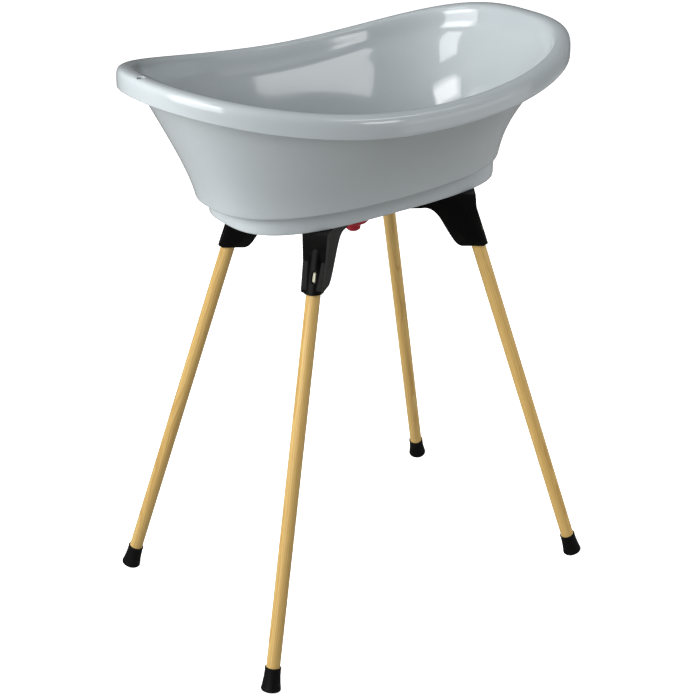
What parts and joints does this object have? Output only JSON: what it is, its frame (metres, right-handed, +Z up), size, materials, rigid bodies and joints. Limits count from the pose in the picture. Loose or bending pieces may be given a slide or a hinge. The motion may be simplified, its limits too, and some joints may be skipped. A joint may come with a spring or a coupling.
{
  "type": "baby bathtub",
  "caption": "Oval moulded baby bath with a raised, saddle-shaped rim on an X-shaped stand with plug-in wooden legs and rubber feet.",
  "frame": {"origin": "on the floor, under the middle of the tub's rim", "axes": "+Z up, +X to the tub's right-hand end as seen from the front, +Y to the far side"},
  "size_m": [0.8014, 0.5058, 1.0124],
  "materials": {
    "tub_plastic": "gloss, pale blue-grey",
    "black_plastic": "satin black moulded",
    "grey_plastic": "satin grey moulded",
    "red_plastic": "gloss dark red",
    "clip_plastic": "natural nylon",
    "wood": "turned pale softwood, clear satin lacquer",
    "foot_rubber": "matt black rubber",
    "seal_rubber": "soft black seal",
    "steel": "stainless"
  },
  "bodies": {
    "stand": {"stand_hub": "black_plastic", "stand_arm_front_left": "black_plastic", "stand_arm_front_right": "black_plastic", "stand_arm_rear_left": "black_plastic", "stand_arm_rear_right": "black_plastic"},
    "tub": {"tub_shell": "tub_plastic", "drain_body": "grey_plastic", "drain_gasket": "seal_rubber", "drain_locknut": "black_plastic", "drain_grille": "steel", "drain_grille_screw": "steel"},
    "drain_cap": {"drain_cap": "red_plastic", "drain_cap_seal": "seal_rubber"},
    "leg_front_left": {"leg_front_left": "wood", "clip_screw_front_left": "steel", "foot_cap_front_left": "foot_rubber"},
    "leg_clip_front_left": {"leg_clip_front_left": "clip_plastic"},
    "leg_front_right": {"leg_front_right": "wood", "clip_screw_front_right": "steel", "foot_cap_front_right": "foot_rubber"},
    "leg_clip_front_right": {"leg_clip_front_right": "clip_plastic"},
    "leg_rear_left": {"leg_rear_left": "wood", "clip_screw_rear_left": "steel", "foot_cap_rear_left": "foot_rubber"},
    "leg_clip_rear_left": {"leg_clip_rear_left": "clip_plastic"},
    "leg_rear_right": {"leg_rear_right": "wood", "clip_screw_rear_right": "steel", "foot_cap_rear_right": "foot_rubber"},
    "leg_clip_rear_right": {"leg_clip_rear_right": "clip_plastic"}
  },
  "joints": [
    {"name": "tub_lift", "type": "slide", "parent": "stand", "child": "tub", "axis": [0, 0, 1], "range_m": [0, 0.15]},
    {"name": "drain_cap_turn", "type": "hinge", "parent": "tub", "child": "drain_cap", "pos_m": [0.0085, 0, 0.694], "axis": [0, 0, -1], "range_deg": [0, 90]},
    {"name": "leg_pull_front_left", "type": "slide", "parent": "stand", "child": "leg_front_left", "axis": [-0.2597, -0.1623, -0.952], "range_m": [0, 0.1], "deforming": ["leg_clip_front_left"]},
    {"name": "clip_press_front_left", "type": "hinge", "parent": "leg_front_left", "child": "leg_clip_front_left", "pos_m": [-0.1553, -0.12207, 0.71534], "axis": [0.7095, -0.7008, -0.0741], "range_deg": [0, 4.8], "stiffness_Nm_per_rad": 6, "deforming": ["leg_clip_front_left"]},
    {"name": "leg_pull_front_right", "type": "slide", "parent": "stand", "child": "leg_front_right", "axis": [0.2597, -0.1623, -0.952], "range_m": [0, 0.1], "deforming": ["leg_clip_front_right"]},
    {"name": "clip_press_front_right", "type": "hinge", "parent": "leg_front_right", "child": "leg_clip_front_right", "pos_m": [0.1723, -0.12207, 0.71534], "axis": [0.7095, 0.7008, 0.0741], "range_deg": [0, 4.8], "stiffness_Nm_per_rad": 6, "deforming": ["leg_clip_front_right"]},
    {"name": "leg_pull_rear_left", "type": "slide", "parent": "stand", "child": "leg_rear_left", "axis": [-0.2597, 0.1623, -0.952], "range_m": [0, 0.1], "deforming": ["leg_clip_rear_left"]},
    {"name": "clip_press_rear_left", "type": "hinge", "parent": "leg_rear_left", "child": "leg_clip_rear_left", "pos_m": [-0.1553, 0.12207, 0.71534], "axis": [-0.7095, -0.7008, 0.0741], "range_deg": [0, 4.8], "stiffness_Nm_per_rad": 6, "deforming": ["leg_clip_rear_left"]},
    {"name": "leg_pull_rear_right", "type": "slide", "parent": "stand", "child": "leg_rear_right", "axis": [0.2597, 0.1623, -0.952], "range_m": [0, 0.1], "deforming": ["leg_clip_rear_right"]},
    {"name": "clip_press_rear_right", "type": "hinge", "parent": "leg_rear_right", "child": "leg_clip_rear_right", "pos_m": [0.1723, 0.12207, 0.71534], "axis": [-0.7095, 0.7008, -0.0741], "range_deg": [0, 4.8], "stiffness_Nm_per_rad": 6, "deforming": ["leg_clip_rear_right"]}
  ]
}
